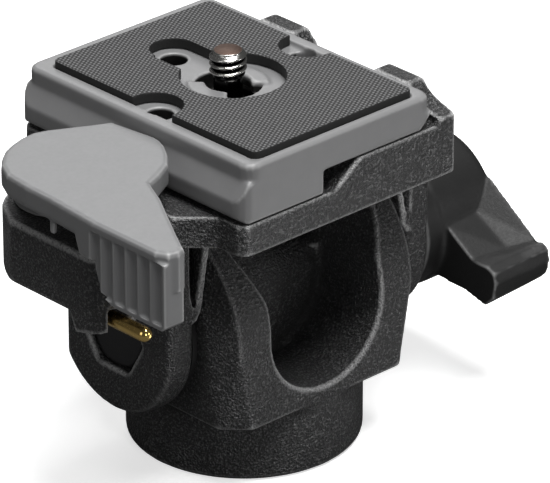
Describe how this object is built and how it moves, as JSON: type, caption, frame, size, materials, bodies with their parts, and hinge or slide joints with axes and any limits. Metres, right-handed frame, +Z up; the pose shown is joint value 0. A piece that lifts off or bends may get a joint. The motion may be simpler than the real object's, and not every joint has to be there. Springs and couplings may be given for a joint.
{
  "type": "monopod tilt head",
  "caption": "Tilt head for a monopod: a fork base with a side knob carries a tilting platform with a lever-locked quick-release camera plate.",
  "frame": {"origin": "centre of the base's underside, at the mouth of the monopod stud's socket", "axes": "+Z up along the socket axis; the tilt axis runs along X, 28.4 mm up, with the wing knob on +X and the quick-release lever on -X; -Y is the end that the lever's grip points to"},
  "size_m": [0.102, 0.0665, 0.0724],
  "materials": {
    "cast_black": "textured matt black powder coat on a casting",
    "plate_grey": "satin grey paint on a casting",
    "lever_grey": "satin mid grey paint on a casting",
    "knob_plastic": "smooth satin black",
    "nylon": "plain black nylon",
    "pad_rubber": "fine ribbed dark grey rubber",
    "steel": "bright steel",
    "screw_steel": "bright zinc plated steel",
    "dark_steel": "blackened steel",
    "brass": "polished brass"
  },
  "bodies": {
    "base": {"base_body": "cast_black", "left_friction_washer": "nylon", "right_friction_washer": "nylon"},
    "platform": {"platform_body": "cast_black", "tilt_bolt": "dark_steel", "knob_thrust_washer": "steel", "lever_torsion_spring": "steel", "safety_pin_axle": "steel", "safety_pin_spring": "steel", "trigger_spring": "steel", "trigger_retaining_clip": "steel"},
    "knob": {"wing_knob": "knob_plastic", "knob_nut_insert": "steel"},
    "lever": {"qr_lever": "lever_grey", "lever_pivot_screw": "steel", "lever_washer": "steel"},
    "pin": {"safety_pin": "brass"},
    "trigger": {"trigger_plunger": "brass"},
    "plate": {"plate_body": "plate_grey", "plate_rubber_pad": "pad_rubber", "screw_retaining_ring": "steel"},
    "screw": {"camera_screw": "screw_steel"}
  },
  "joints": [
    {"name": "platform_tilt", "type": "hinge", "parent": "base", "child": "platform", "pos_m": [0, 0, 0.0284], "axis": [1, 0, 0], "range_deg": [-90, 90]},
    {"name": "knob_turn", "type": "hinge", "parent": "platform", "child": "knob", "pos_m": [0.035, 0, 0.0284], "axis": [1, 0, 0], "range_deg": [0, 180]},
    {"name": "lever_swing", "type": "hinge", "parent": "platform", "child": "lever", "pos_m": [-0.038, 0.003, 0.06], "axis": [0, 0, -1], "range_deg": [0, 80], "stiffness_Nm_per_rad": 0.12, "springref_deg": -28.65},
    {"name": "safety_pin_swing", "type": "hinge", "parent": "platform", "child": "pin", "pos_m": [-0.046, -0.0134, 0.0436], "axis": [1, 0, 0], "range_deg": [0, 12], "stiffness_Nm_per_rad": 0.02, "springref_deg": -17.19, "deforming": ["safety_pin_spring"]},
    {"name": "trigger_travel", "type": "slide", "parent": "platform", "child": "trigger", "axis": [0, 0, 1], "range_m": [0, 0.003], "deforming": ["trigger_spring"]},
    {"name": "plate_tip_out", "type": "hinge", "parent": "platform", "child": "plate", "pos_m": [0.0178, 0, 0.066], "axis": [0, 1, 0], "range_deg": [0, 7.25]},
    {"name": "camera_screw_turn", "type": "hinge", "parent": "plate", "child": "screw", "pos_m": [-0.0035, 0, 0.06], "axis": [0, 0, 1], "continuous": true}
  ],
  "couplings": [
    {"joint": "plate_tip_out", "follows": "lever_swing", "ratio": 0.09},
    {"joint": "trigger_travel", "follows": "lever_swing", "m_per_rad": 0.00214}
  ]
}
